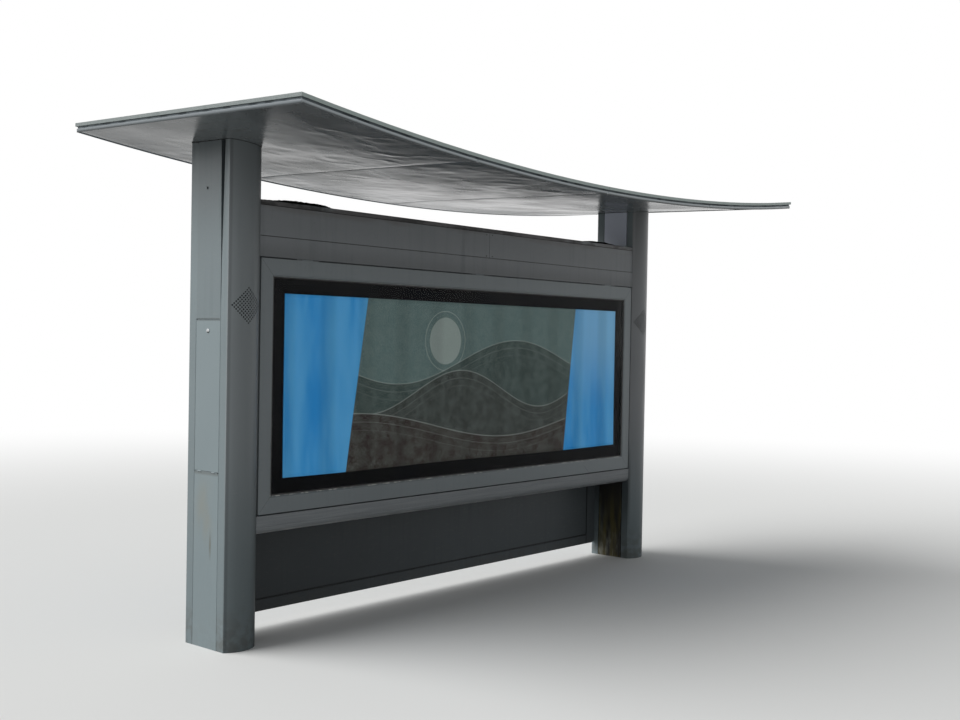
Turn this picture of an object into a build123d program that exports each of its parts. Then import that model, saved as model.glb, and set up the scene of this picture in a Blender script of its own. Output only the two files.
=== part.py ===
from build123d import *
import math
import os

# Bus shelter: two clad box columns, a glazed poster case between them and a thin
# roof that curves along its length. Millimetres, +Z up, floor at zero, the origin
# under the middle of the roof. The sidewalk is on the -Y side, the road on +Y.

# Columns
column_spacing = 3890
column_width = 212
column_depth = 331
column_bow = 42
corner_radius = 3
cladding_sheet = 4
cladding_return = 56
cladding_spring = 16

# Steel posts inside the columns
post_gap = 21
post_wall = 6
foot_margin = 12
foot_thickness = 12
foot_radius = 20
anchor_edge_x = 30
anchor_edge_y = 13
anchor_hole_radius = 7

# Side panels of the columns, folded as shallow pans
pan_sheet = 3
panel_gap = 6
panel_spring = 9
spring_height = 2080
hatch_bottom = 956
hatch_top = 1771
hatch_depth = 15
panel_seam = 8
cable_hole_radius = 8
cable_hole_over_hatch = 711
cable_hole_shift = 21
lock_radius = 11
lock_head = 3
lock_under_hatch_top = 58
lock_shift = 2

# Hinges: a pin runs through knuckles on both leaves
pin_radius = 1.6
pin_play = 0.05
knuckle_radius = 3.5
leaf_thickness = 3
case_knuckle = 80
case_knuckle_count = 3
case_knuckle_spacing = 1500
hatch_knuckle = 30
hatch_knuckle_spacing = 120

# Poster case
case_bottom = 713
case_top = 2117
case_side_gap = 10
case_edge_gap = 8
frame_side_width = 85
frame_top_width = 94
frame_bottom_width = 93
frame_depth = 32
frame_bevel = 5
glass_setback = 8
glass_thickness = 6
glass_cover = 8
case_face_depth = 38
board_setback = 22
board_margin = 8

# Rails over and under the case
header_rail_height = 110
header_panel_height = 166
header_seam = 3
header_split = 101
header_panel_inset = 2
cap_height = 24
cap_neck = 4
cap_neck_inset = 8
rail_wall = 4
bottom_rail_height = 100
bottom_rail_radius = 36
rail_groove_width = 3
rail_groove_depth = 2
rail_groove_rise = 4

# Skirt under the case, in the plane of the columns' road face
skirt_bottom = 93
skirt_thickness = 18
skirt_side_border = 106
skirt_bottom_border = 68
skirt_top_border = 24
skirt_corner_radius = 30
skirt_recess = 8
skirt_panel_thickness = 5
skirt_panel_gap = 3

# Roof
end_overhang = 397
sidewalk_overhang = 1021
road_overhang = 518
roof_over_cap = 185
roof_rise = 153
roof_slope = 1.7
soffit_sheet = 3
soffit_recess = 11
soffit_groove = 5
band_height = 19
shadow_gap = 11
roof_edge_height = 48
trim_sheet = 3
trim_overhang = 6
trim_flange = 70
soffit_count = 4
soffit_seam = 2
rib_width = 80
edge_beam_width = 40

seat = 0.3
cutter_height = 400

column_line = (sidewalk_overhang - road_overhang) / 2
outer_face = column_spacing / 2 + column_width / 2
inner_face = column_spacing / 2 - column_width / 2
front = column_line - column_depth / 2
back = column_line + column_depth / 2
clear_half = inner_face - seat
post_side = column_width / 2 - post_gap
post_front = column_depth / 2 - cladding_return + cladding_sheet
foot_front = column_depth / 2 - foot_margin

# Heights, from the floor up
rail_top = case_bottom - case_edge_gap
header_bottom = case_top + case_edge_gap
panel_z0 = header_bottom + header_rail_height + header_seam
panel_z1 = panel_z0 + header_panel_height
cap_z0 = panel_z1 + seat
cap_z1 = cap_z0 + cap_neck + cap_height
soffit_height = cap_z1 + roof_over_cap
cable_hole_height = hatch_top + cable_hole_over_hatch
lock_height = hatch_top - lock_under_hatch_top


def block(x0, x1, y0, y1, z0, z1):
    middle = Pos((x0 + x1) / 2, (y0 + y1) / 2, (z0 + z1) / 2)
    return middle * Box(x1 - x0, y1 - y0, z1 - z0)


def mirrored(shape):
    return mirror(shape, about=Plane.YZ)


# Roof layers: a layer is a curved plate between two heights over the soffit,
# bent to one circle along X and tilted up towards the road.
roof_half = outer_face + end_overhang
roof_width = column_depth + sidewalk_overhang + road_overhang
roof_radius = (roof_half**2 + roof_rise**2) / (2 * roof_rise)
leaning = roof_rise + roof_edge_height + band_height + shadow_gap
tilt_shift = leaning * math.sin(math.radians(roof_slope)) / 2


def tilted(shape):
    pivot = Pos(0, column_line + tilt_shift, soffit_height)
    return pivot * Rot(roof_slope, 0, 0) * Pos(0, -column_line, -soffit_height) * shape


def layer_point(x, height):
    radius = roof_radius - height
    return (x, soffit_height + roof_radius - math.sqrt(radius**2 - x**2))


def layer(low, high, x0, x1, y0, y1):
    middle = (x0 + x1) / 2
    under = ThreePointArc(layer_point(x0, low), layer_point(middle, low), layer_point(x1, low))
    over = ThreePointArc(layer_point(x0, high), layer_point(middle, high), layer_point(x1, high))
    left = Line(layer_point(x0, low), layer_point(x0, high))
    right = Line(layer_point(x1, low), layer_point(x1, high))
    outline = make_face([Plane.XZ * edge for edge in (under, right, over, left)])
    return Pos(0, y0, 0) * extrude(outline, amount=y1 - y0, dir=(0, 1, 0))


edge_y = roof_width / 2
band_y = edge_y - trim_overhang
band_x = roof_half - trim_overhang
over_roof = tilted(layer(soffit_recess - seat, cutter_height, -roof_half, roof_half, -edge_y, edge_y))


# A soffit tray: its floor lies over the lower edge of the band, and a groove parts
# the two all round the roof. From the floor the sheet goes up, over and down again.
fold_width = soffit_sheet + soffit_groove
floor_y = band_y - fold_width
fold_z = band_height - soffit_sheet


def fold_across(x0, x1, side):
    fold = layer(0, band_height, x0, x1, *sorted((side * (band_y - soffit_sheet), side * band_y)))
    return fold + layer(fold_z, band_height, x0, x1, *sorted((side * floor_y, side * band_y)))


def fold_along(edge, side):
    inner = edge + side * fold_width
    fold = layer(0, band_height, *sorted((edge, edge + side * soffit_sheet)), -band_y, band_y)
    fold += layer(fold_z, band_height, *sorted((edge, inner)), -band_y, band_y)
    riser = sorted((inner, inner + side * soffit_sheet))
    return fold + layer(soffit_recess, band_height, *riser, -floor_y, floor_y)


def soffit_tray(x0, x1):
    near = x0 + fold_width if x0 <= -band_x else x0
    far = x1 - fold_width if x1 >= band_x else x1
    tray = layer(soffit_recess, soffit_recess + soffit_sheet, near, far, -floor_y, floor_y)
    for side in (-1, 1):
        riser = sorted((side * (floor_y - soffit_sheet), side * floor_y))
        tray += layer(soffit_recess, band_height, near, far, *riser)
        tray += fold_across(x0, x1, side)
    if x0 < near:
        tray += fold_along(x0, 1)
    if x1 > far:
        tray += fold_along(x1, -1)
    return tilted(tray)


def roof_frame():
    low = soffit_recess + soffit_sheet + seat
    high = roof_edge_height - 2 * trim_sheet - 2 * seat
    reach_x = band_x - fold_width - soffit_sheet - seat
    reach_y = floor_y - soffit_sheet - seat
    frame = layer(low, high, -reach_x, reach_x, -reach_y, edge_beam_width - reach_y)
    frame += layer(low, high, -reach_x, reach_x, reach_y - edge_beam_width, reach_y)
    frame += layer(low, high, -reach_x, edge_beam_width - reach_x, -reach_y, reach_y)
    frame += layer(low, high, reach_x - edge_beam_width, reach_x, -reach_y, reach_y)
    for x in (-column_spacing / 2, -roof_half / 2, 0, roof_half / 2, column_spacing / 2):
        frame += layer(low, high, x - rib_width / 2, x + rib_width / 2, -reach_y, reach_y)
    return tilted(frame)


def roof_sheet(x0, x1):
    high = roof_edge_height - trim_sheet - seat
    return tilted(layer(high - trim_sheet, high, x0, x1, -band_y, band_y))


def roof_trim():
    flange = roof_edge_height - trim_sheet
    leg = band_height + shadow_gap
    end = -roof_half
    trim = layer(flange, roof_edge_height, end, -1, -edge_y, trim_flange - edge_y)
    trim += layer(flange, roof_edge_height, end, -1, edge_y - trim_flange, edge_y)
    trim += layer(flange, roof_edge_height, end, end + trim_flange, -edge_y, edge_y)
    trim += layer(leg, roof_edge_height, end, -1, -edge_y, trim_sheet - edge_y)
    trim += layer(leg, roof_edge_height, end, -1, edge_y - trim_sheet, edge_y)
    trim += layer(leg, roof_edge_height, end, end + trim_sheet, -edge_y, edge_y)
    return tilted(trim)


# Column pieces are drawn for the left column and mirrored for the right one.
column_x = -column_spacing / 2
tall = soffit_height + roof_rise + cutter_height / 2


# On the sidewalk side of the end face the cladding and the upper panel have sprung
# apart: their edges are upright up to spring_height and lean away from there.
def beside_edge(edge, width, spring, x0, x1):
    lean = spring * (tall - spring_height) / (soffit_height - spring_height)
    line = Polyline((edge, 0), (edge, spring_height), (edge + lean, tall), (edge + lean + width, tall),
                    (edge + width, spring_height), (edge + width, 0), close=True)
    return Pos(x0, 0, 0) * extrude(make_face(Plane.YZ * line), amount=x1 - x0, dir=(1, 0, 0))


def post():
    tube = block(-post_side, post_side, -post_front, post_front, 0, tall)
    tube -= block(post_wall - post_side, post_side - post_wall, post_wall - post_front,
                  post_front - post_wall, foot_thickness, tall + 1)
    foot = block(-post_side, post_side, -foot_front, foot_front, 0, foot_thickness)
    foot = fillet(foot.edges().filter_by(Axis.Z), foot_radius)
    whole = tube + foot
    for x in (anchor_edge_x - post_side, post_side - anchor_edge_x):
        for y in (anchor_edge_y - foot_front, foot_front - anchor_edge_y):
            whole -= Pos(x, y, foot_thickness / 2) * Cylinder(anchor_hole_radius, 3 * foot_thickness)
    return Pos(column_x, column_line, 0) * whole - over_roof


# The cladding bows outwards between its two creases, as an arc of one circle.
bow_radius = (column_width**2 / 4 + column_bow**2) / (2 * column_bow)
bow_axis = bow_radius - column_bow - column_depth / 2


def bowed(inset, z0, z1):
    half = column_width / 2 - inset
    radius = bow_radius - inset
    crease = bow_axis - math.sqrt(radius**2 - half**2)
    arc = ThreePointArc((-half, crease), (0, bow_axis - radius), (half, crease))
    sides = Polyline((half, crease), (half, 0), (-half, 0), (-half, crease))
    return Pos(0, 0, z0) * extrude(make_face([arc, *sides.edges()]), amount=z1 - z0)


def corner_cladding(end_spring):
    inside = column_width / 2 - cladding_sheet
    lip_back = cladding_return - column_depth / 2
    skin = bowed(0, 0, tall)
    creases = skin.edges().filter_by(Axis.Z).group_by(Axis.Y)[0]
    skin = fillet(creases, corner_radius) - bowed(cladding_sheet, -1, tall + 1)
    for side, spring in ((-1, end_spring), (1, 0)):
        half = sorted((0, side * column_width))
        skin -= beside_edge(lip_back, column_depth, -spring, *half)
        lip = sorted((side * (post_side + seat), side * (inside + 1)))
        skin += beside_edge(lip_back, -cladding_sheet, -spring, *lip)
    return skin


def sidewalk_cladding():
    return Pos(column_x, column_line, 0) * corner_cladding(cladding_spring) - over_roof


def road_cladding():
    turned = mirror(corner_cladding(0), about=Plane.XZ)
    return Pos(column_x, column_line, 0) * turned - over_roof


panel_low = front + cladding_return + panel_gap
panel_high = back - cladding_return - panel_gap
pan_depth = column_width / 2 - post_side - seat


def outer_pan(z0, z1, depth):
    pan = block(-outer_face, depth - outer_face, panel_low, panel_high, z0, z1)
    pan -= block(pan_sheet - outer_face, depth + 1 - outer_face, panel_low + pan_sheet,
                 panel_high - pan_sheet, z0 + pan_sheet, z1 - pan_sheet)
    return pan


def lower_panel():
    return outer_pan(0, hatch_bottom - panel_seam, pan_depth)


def upper_panel():
    bottom = hatch_top + panel_seam
    outside = -outer_face
    inside = pan_depth - outer_face
    pan = outer_pan(bottom, tall, pan_depth)
    pan -= beside_edge(panel_low, -cladding_return, panel_spring, outside - 1, inside + 1)
    rim = beside_edge(panel_low, pan_sheet, panel_spring, outside, inside)
    rim -= block(outside - 1, inside + 1, front, back, -1, bottom)
    return pan + rim - over_roof


def cable_hole():
    spot = Pos(-outer_face, column_line + cable_hole_shift, cable_hole_height)
    return spot * Rot(0, 90, 0) * Cylinder(cable_hole_radius, 20)


def inner_panel():
    reach = inner_face + pan_depth
    pan = block(-reach, -inner_face, panel_low, panel_high, 0, tall)
    pan -= block(-reach - 1, -inner_face - pan_sheet, panel_low + pan_sheet,
                 panel_high - pan_sheet, pan_sheet, tall + 1)
    return pan - over_roof


def lock_spot():
    return Pos(-outer_face, column_line + lock_shift, lock_height) * Rot(0, 90, 0)


hatch_axis_z = hatch_bottom - panel_seam / 2
hatch_middle = (panel_low + panel_high) / 2
hatch_knuckles = [hatch_middle + side * hatch_knuckle_spacing / 2 for side in (-1, 1)]


def hatch_axis(y, radius, length):
    return Pos(-outer_face, y, hatch_axis_z) * Rot(90, 0, 0) * Cylinder(radius, length)


def hatch_leaf(y0, y1, z0, z1):
    return block(-outer_face, leaf_thickness - outer_face, y0, y1, z0, z1)


def service_door():
    door = outer_pan(hatch_bottom, hatch_top, hatch_depth)
    for y in hatch_knuckles:
        door += hatch_axis(y, knuckle_radius, hatch_knuckle)
        door += hatch_leaf(y - hatch_knuckle / 2, y + hatch_knuckle / 2, hatch_axis_z, hatch_bottom + 1)
    door -= hatch_axis(hatch_middle, pin_radius + pin_play, 2 * hatch_knuckle_spacing)
    return door - lock_spot() * Cylinder(lock_radius * 0.8 + 0.1, 3 * pan_sheet)


def door_lock():
    head = Pos(0, 0, -lock_head / 2 - seat) * Cylinder(lock_radius, lock_head)
    head = chamfer(head.edges().group_by(Axis.Z)[0], 1)
    barrel = Pos(0, 0, 5) * Cylinder(lock_radius * 0.8, 10 + 2 * seat)
    slot = Pos(0, 0, -lock_head) * Box(10, 2, 2.4)
    return lock_spot() * (head + barrel - slot)


def hinged_lower_panel():
    panel = lower_panel()
    panel += hatch_leaf(panel_low + 6, panel_high - 6, hatch_bottom - panel_seam - 1, hatch_axis_z)
    panel += hatch_axis(hatch_middle, pin_radius, panel_high - panel_low - 12)
    for y in hatch_knuckles:
        room = hatch_knuckle / 2 + 1
        notch = block(-outer_face - 5, 5 - outer_face, y - room, y + room,
                      hatch_bottom - panel_seam, hatch_bottom)
        panel -= notch - hatch_axis(y, pin_radius, 2 * hatch_knuckle)
    return panel


# Poster case: mitred frame, glass and poster board for one face. The frame is drawn
# for the sidewalk face; the road face is its mirror image across the column line.
door_half = inner_face - case_side_gap
open_half = door_half - frame_side_width
open_bottom = case_bottom + frame_bottom_width
open_top = case_top - frame_top_width


def case_frame(depth):
    ring = block(-door_half, door_half, front, front + depth, case_bottom, case_top)
    ring -= block(-open_half, open_half, front - 1, front + depth + 1, open_bottom, open_top)
    rim = [edge for edge in ring.edges().group_by(Axis.Y)[0]
           if abs(edge.center().X) < door_half - 1 and case_bottom + 1 < edge.center().Z < case_top - 1]
    ring = chamfer(rim, frame_bevel)
    cover = glass_cover + seat
    ring -= block(-open_half - cover, open_half + cover, front + glass_setback, front + depth + 1,
                  open_bottom - cover, open_top + cover)
    for side in (-1, 1):
        for inner_z, outer_z in ((open_bottom, case_bottom), (open_top, case_top)):
            run = side * (door_half - open_half)
            fall = outer_z - inner_z
            middle = Pos(side * (door_half + open_half) / 2, front + depth / 2, (inner_z + outer_z) / 2)
            angle = -math.degrees(math.atan2(fall, run))
            ring -= middle * Rot(0, angle, 0) * Box(2 * math.hypot(run, fall), depth + 10, seat)
    members = ring.solids()
    return {
        "bottom": members.sort_by(Axis.Z)[0],
        "top": members.sort_by(Axis.Z)[-1],
        "left": members.sort_by(Axis.X)[0],
        "right": members.sort_by(Axis.X)[-1],
    }


def case_glass():
    near = front + glass_setback + seat
    return block(-open_half - glass_cover, open_half + glass_cover, near, near + glass_thickness,
                 open_bottom - glass_cover, open_top + glass_cover)


def poster_board():
    return block(board_margin - open_half, open_half - board_margin, front + board_setback,
                 front + case_face_depth - seat, open_bottom + board_margin, open_top - board_margin)


hinge_z = case_top + case_edge_gap / 2
first_spot = -case_knuckle_spacing * (case_knuckle_count - 1) / 2
hinge_spots = [first_spot + number * case_knuckle_spacing for number in range(case_knuckle_count)]


def case_axis(x, radius, length):
    return Pos(x, front, hinge_z) * Rot(0, 90, 0) * Cylinder(radius, length)


def case_knuckles(offset, length, z0, z1):
    row = []
    for x in hinge_spots:
        middle = x + offset
        leaf = block(middle - length / 2, middle + length / 2, front, front + leaf_thickness, z0, z1)
        bore = case_axis(middle, pin_radius + pin_play, 2 * length)
        row.append(case_axis(middle, knuckle_radius, length) + leaf - bore)
    return row


def door_top():
    member = case_frame(frame_depth)["top"]
    for knuckle in case_knuckles(0, case_knuckle, case_top - 1, hinge_z):
        member += knuckle
    return member


def to_road(shape):
    return mirror(shape, about=Plane.XZ.offset(-column_line))


light_box = block(-clear_half, clear_half, front + case_face_depth, back - case_face_depth,
                  rail_top + seat, header_bottom - seat)


def tube(x0, x1, y0, y1, z0, z1, wall):
    hollow = block(x0 - 1, x1 + 1, y0 + wall, y1 - wall, z0 + wall, z1 - wall)
    return block(x0, x1, y0, y1, z0, z1) - hollow


def header_rail():
    top = header_bottom + header_rail_height
    rail = tube(-clear_half, clear_half, front, back, header_bottom, top, rail_wall)
    rail += block(-clear_half, clear_half, front + cap_neck_inset, back - cap_neck_inset,
                  top - 1, top + header_seam - seat)
    for offset in (-1, 1):
        shift = offset * (3 * case_knuckle / 4 + 1)
        for knuckle in case_knuckles(shift, case_knuckle / 2, hinge_z, header_bottom + 1):
            rail += knuckle
    return rail


def header_panel(x0, x1):
    return tube(x0, x1, front + header_panel_inset, back - header_panel_inset,
                panel_z0, panel_z1, rail_wall)


def header_cap():
    cap = block(-clear_half, clear_half, front, back, cap_z0 + cap_neck, cap_z1)
    cap = fillet(cap.edges().filter_by(Axis.X).group_by(Axis.Z)[-1], 4)
    cap += block(-clear_half, clear_half, front + cap_neck_inset, back - cap_neck_inset,
                 cap_z0, cap_z0 + cap_neck + 1)
    hollow = block(-clear_half - 1, clear_half + 1, front + cap_neck_inset + rail_wall,
                   back - cap_neck_inset - rail_wall, cap_z0 + rail_wall, cap_z1 - rail_wall)
    return cap - hollow


def bottom_rail():
    bottom = rail_top - bottom_rail_height
    rail = block(-clear_half, clear_half, front, back, bottom, rail_top)
    rail = fillet(rail.edges().filter_by(Axis.X).group_by(Axis.Z)[0].sort_by(Axis.Y)[0], bottom_rail_radius)
    rail = fillet(rail.edges().filter_by(Axis.X).group_by(Axis.Z)[-1], 3)
    hollow = block(-clear_half - 1, clear_half + 1, front + rail_wall, back - rail_wall,
                   bottom + rail_wall, rail_top - rail_wall)
    hollow = fillet(hollow.edges().filter_by(Axis.X).group_by(Axis.Z)[0].sort_by(Axis.Y)[0],
                    bottom_rail_radius - rail_wall)
    groove_z = bottom + bottom_rail_radius + rail_groove_rise
    groove = block(-clear_half - 1, clear_half + 1, front - 1, front + rail_groove_depth,
                   groove_z, groove_z + rail_groove_width)
    return rail - hollow - groove


skirt_top = rail_top - bottom_rail_height - seat
skirt_face = back - skirt_thickness


def skirt_frame():
    plate = block(-clear_half, clear_half, skirt_face, back, skirt_bottom, skirt_top)
    plate = fillet(plate.edges().filter_by(Axis.Y).group_by(Axis.Z)[0], skirt_corner_radius)
    half = clear_half - skirt_side_border
    return plate - block(-half, half, skirt_face - 1, skirt_face + skirt_recess,
                         skirt_bottom + skirt_bottom_border, skirt_top - skirt_top_border)


def skirt_panel():
    half = clear_half - skirt_side_border - skirt_panel_gap
    floor = skirt_face + skirt_recess - seat
    return block(-half, half, floor - skirt_panel_thickness, floor,
                 skirt_bottom + skirt_bottom_border + skirt_panel_gap,
                 skirt_top - skirt_top_border - skirt_panel_gap)


parts = {
    "post_left": post(),
    "sidewalk_cladding_left": sidewalk_cladding(),
    "road_cladding_left": road_cladding(),
    "inner_panel_left": inner_panel(),
    "upper_panel_left": upper_panel() - cable_hole(),
    "lower_panel_left": hinged_lower_panel(),
    "service_door": service_door(),
    "door_lock": door_lock(),
    "post_right": mirrored(post()),
    "sidewalk_cladding_right": mirrored(sidewalk_cladding()),
    "road_cladding_right": mirrored(road_cladding()),
    "inner_panel_right": mirrored(inner_panel()),
    "upper_panel_right": mirrored(upper_panel()),
    "middle_panel_right": mirrored(outer_pan(hatch_bottom, hatch_top, pan_depth)),
    "lower_panel_right": mirrored(lower_panel()),
    "case_glass": case_glass(),
    "poster_board": poster_board(),
    "case_hinge": case_axis(0, pin_radius, 2 * door_half),
    "light_box": light_box,
    "road_glass": to_road(case_glass()),
    "road_poster_board": to_road(poster_board()),
    "header_rail": header_rail(),
    "header_panel_left": header_panel(-clear_half, header_split - header_seam / 2),
    "header_panel_right": header_panel(header_split + header_seam / 2, clear_half),
    "header_cap": header_cap(),
    "bottom_rail": bottom_rail(),
    "skirt_frame": skirt_frame(),
    "skirt_panel": skirt_panel(),
    "roof_frame": roof_frame(),
    "roof_sheet_left": roof_sheet(-band_x, -soffit_seam / 2),
    "roof_sheet_right": roof_sheet(soffit_seam / 2, band_x),
    "roof_trim_left": roof_trim(),
    "roof_trim_right": mirrored(roof_trim()),
}
for name, member in case_frame(frame_depth).items():
    parts["case_door_" + name] = member
parts["case_door_top"] = door_top()
for name, member in case_frame(case_face_depth - seat).items():
    parts["road_frame_" + name] = to_road(member)
tray_length = 2 * band_x / soffit_count
for number in range(soffit_count):
    start = -band_x + number * tray_length + (soffit_seam / 2 if number else 0)
    stop = -band_x + (number + 1) * tray_length - (soffit_seam / 2 if number < soffit_count - 1 else 0)
    parts["soffit_" + str(number + 1)] = soffit_tray(start, stop)

os.makedirs("parts", exist_ok=True)
for name, shape in parts.items():
    export_step(shape, "parts/" + name + ".step")
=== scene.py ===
"""Bus shelter: two clad columns, a glazed poster case between them and a thin curved roof.

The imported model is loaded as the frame. Each operator finishes one group of pieces, in metres,
with +X along the shelter, +Y towards the road and +Z up.
"""

import math

import bmesh
import bpy
import numpy as np
from mathutils import Matrix, Vector


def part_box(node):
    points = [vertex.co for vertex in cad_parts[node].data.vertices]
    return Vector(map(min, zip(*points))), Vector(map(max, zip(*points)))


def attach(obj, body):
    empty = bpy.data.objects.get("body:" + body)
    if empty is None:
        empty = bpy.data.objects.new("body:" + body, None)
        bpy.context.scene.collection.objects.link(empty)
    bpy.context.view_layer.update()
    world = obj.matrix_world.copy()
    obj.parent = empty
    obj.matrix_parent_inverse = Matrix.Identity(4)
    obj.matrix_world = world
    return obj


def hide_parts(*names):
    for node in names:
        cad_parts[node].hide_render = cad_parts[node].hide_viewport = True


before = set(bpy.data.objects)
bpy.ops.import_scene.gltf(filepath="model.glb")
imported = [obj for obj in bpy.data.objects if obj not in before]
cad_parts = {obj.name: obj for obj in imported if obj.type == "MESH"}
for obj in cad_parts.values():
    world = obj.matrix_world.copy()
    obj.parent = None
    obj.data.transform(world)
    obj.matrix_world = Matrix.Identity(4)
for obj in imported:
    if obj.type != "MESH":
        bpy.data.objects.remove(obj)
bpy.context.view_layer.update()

bl_info = {
    "name": "Bus shelter finish",
    "version": (1, 0, 0),
    "blender": (4, 5, 0),
    "location": "3D View > Sidebar > Shelter",
    "description": "Finishes the bus shelter's columns, poster case, rails and roof",
    "category": "Object",
}

MM = 0.001
BODY = "shelter"
DOOR = "case_door"
SIDES = ("left", "right")


def linear(hex_colour):
    """An sRGB hex colour as linear RGBA."""
    channels = [int(hex_colour[i:i + 2], 16) / 255 for i in (1, 3, 5)]
    return tuple(c / 12.92 if c <= 0.04045 else ((c + 0.055) / 1.055) ** 2.4 for c in channels) + (1.0,)


def colour_property(name, description, hex_colour):
    return bpy.props.FloatVectorProperty(name=name, description=description, subtype="COLOR", size=4,
                                         min=0, max=1, default=linear(hex_colour))


def length_property(name, description, millimetres):
    return bpy.props.FloatProperty(name=name, description=description, unit="LENGTH", subtype="DISTANCE",
                                   default=millimetres * MM)


def angle_property(name, description, radians):
    return bpy.props.FloatProperty(name=name, description=description, subtype="ANGLE", default=radians)


class ShelterView(bpy.types.PropertyGroup):
    """Where the shelter is seen from, and how it is lit."""
    lens: bpy.props.FloatProperty(name="Lens", description="Focal length, in mm, for a frame 36 mm wide",
                                  default=44.27)
    place: bpy.props.FloatVectorProperty(name="Place", description="Camera position", subtype="TRANSLATION",
                                         unit="LENGTH", default=(-5.953, -4.975, 1.688))
    heading: angle_property("Heading", "Turn of the view from +Y towards +X", 0.8679)
    tip: angle_property("Tip", "Rise of the view axis", -0.01666)
    roll: angle_property("Roll", "Roll about the view axis", 0.01772)
    key: bpy.props.FloatProperty(name="Key light", description="Strength of the soft light from the left",
                                 default=3.45)
    sky: bpy.props.FloatProperty(name="Sky light", description="Strength of the even light all round",
                                 default=0.355)
    floor: colour_property("Floor", "Colour of the studio floor", "#dededc")
    bounce: colour_property("Floor bounce", "Colour of the light that the floor throws back", "#a2a2a0")


class ShelterColours(bpy.types.PropertyGroup):
    """Colours of the finishes."""
    column: colour_property("Columns", "Powder coat of the columns", "#747f82")
    case: colour_property("Case frames", "Powder coat of the glazed frames", "#848b8e")
    rail: colour_property("Rails", "Powder coat of the header and the bottom rail", "#84888b")
    # The skirt's coat is set darker than the rails', partly as painted shade from the case above.
    skirt: colour_property("Skirt", "Powder coat of the skirt", "#585e61")
    roof: colour_property("Roof", "Paint of the roof sheets and trims", "#b6c3bf")
    soffit: colour_property("Soffit", "Enamel of the soffit trays", "#686d6f")
    # The trays' folded edges get this lighter colour by the way they face: painted light.
    band: colour_property("Tray edge", "Bare metal of the trays' folded edges", "#c0c8cc")
    dust: colour_property("Dust", "Dry dust", "#a39d92")
    mud: colour_property("Splash", "Mud splashed up by rain", "#4d463b")
    mould: colour_property("Mould", "Mould and water stains", "#665e35")
    # This dark colour mostly paints shade: in corners, under the roof, beside the case, on the rails and the
    # skirt, and a dark reflection on the soffit.
    soot_and_shade: colour_property("Soot", "Soot in corners and under the roof", "#17191b")
    rust: colour_property("Rust", "Rust that bleeds through the cap", "#4a4240")
    print_blue: colour_property("Blue", "Blue of the print's ends", "#2484c8")
    print_sky: colour_property("Light blue", "Light blue of the print's ends", "#63aeda")
    print_green: colour_property("Grey green", "Grey green of the print's middle", "#4f6362")
    print_slate: colour_property("Slate", "Slate of the print's middle", "#33413f")
    print_brown: colour_property("Brown", "Brown of the print's lower part", "#2c2320")


class ShelterSizes(bpy.types.PropertyGroup):
    """Sizes of the shapes that are added to the frame."""
    bow: length_property("Bow", "How far a column's face bows out between its creases", 42)
    hole_radius: length_property("Hole radius", "Radius of one perforation", 4.8)
    hole_step: length_property("Hole step", "Half the spacing of the perforations along the diagonal", 10.4)
    hole_rows: bpy.props.IntProperty(name="Rows", description="Rows of the perforated diamond", default=10)
    diamond_z: length_property("Diamond height", "Height of the diamond's middle", 1852)
    seam: length_property("Seam", "Width of the seam beside a side panel", 6)
    spring_height: length_property("Spring height", "Height at which the sidewalk seam starts to open", 2080)
    bead: length_property("Bead", "Width of the bead round the glass", 5)
    gasket: length_property("Gasket", "Width of the rubber round the glass", 7)
    print_half: length_property("Print half length", "Half the length of the print", 1644)
    print_low: length_property("Print bottom", "Height of the print's lower edge", 902)
    print_high: length_property("Print top", "Height of the print's upper edge", 1929)
    soffit_height: length_property("Soffit", "Height of the soffit's lowest line, over the columns", 2617.3)
    roof_rise: length_property("Roof rise", "Rise of the roof from its middle to its ends", 153)
    roof_slope: angle_property("Roof slope", "Tilt up towards the road", math.radians(1.7))
    roof_edge: length_property("Roof edge", "From the soffit's lower line to the top of the trim", 78)
    soffit_half: length_property("Soffit half width", "From the roof's middle to the outside of a tray", 929)
    soffit_recess: length_property("Soffit recess", "Height of a tray's floor over its outer band", 11)
    soffit_band: length_property("Soffit band", "Height of a tray's outer band", 19)
    soffit_groove: length_property("Soffit groove", "Width of the groove inside the band", 5)
    soffit_drop: length_property("Soffit drop", "How much lower a tray's floor hangs at the road side", 7)
    sheet_height: length_property("Roof sheet height", "Height of the roof sheets' underside", 41.7)
    soffit_sag: length_property("Soffit sag", "Depth of the soffit's dents", 3.2)
    sheet: length_property("Sheet", "Thickness of the soffit sheet", 3)
    litter: length_property("Litter", "Height of the leaf dust on the cap", 34)


def add(tree, kind, sockets=None, **settings):
    """Adds a node, sets its settings, and sets or links its inputs; a node stands for its first output."""
    node = tree.nodes.new(kind)
    for name, value in settings.items():
        setattr(node, name, value)
    for name, value in (sockets or {}).items():
        if isinstance(value, bpy.types.Node):
            value = value.outputs[0]
        if isinstance(value, bpy.types.NodeSocket):
            tree.links.new(value, node.inputs[name])
        else:
            node.inputs[name].default_value = value
    return node


def new_material(name, values=None):
    """A material with one principled shader that has some set values, its tree, the shader and the
    object coordinates."""
    material = bpy.data.materials.new(name)
    material.use_nodes = True
    tree = material.node_tree
    tree.nodes.clear()
    shader = add(tree, "ShaderNodeBsdfPrincipled", values)
    add(tree, "ShaderNodeOutputMaterial", {"Surface": shader})
    return material, tree, shader, add(tree, "ShaderNodeTexCoord").outputs["Object"]


def parts(tree, vector):
    """The X, Y and Z of a vector."""
    return add(tree, "ShaderNodeSeparateXYZ", {"Vector": vector}).outputs


def from_zero(tree, value):
    """How far a value lies from 0, on either side."""
    return add(tree, "ShaderNodeMath", {0: value}, operation="ABSOLUTE")


def noise(tree, place, size, detail):
    """Noise with lumps that are size millimetres across."""
    return add(tree, "ShaderNodeTexNoise", {"Vector": place, "Scale": 1000 / size, "Detail": detail})


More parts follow.
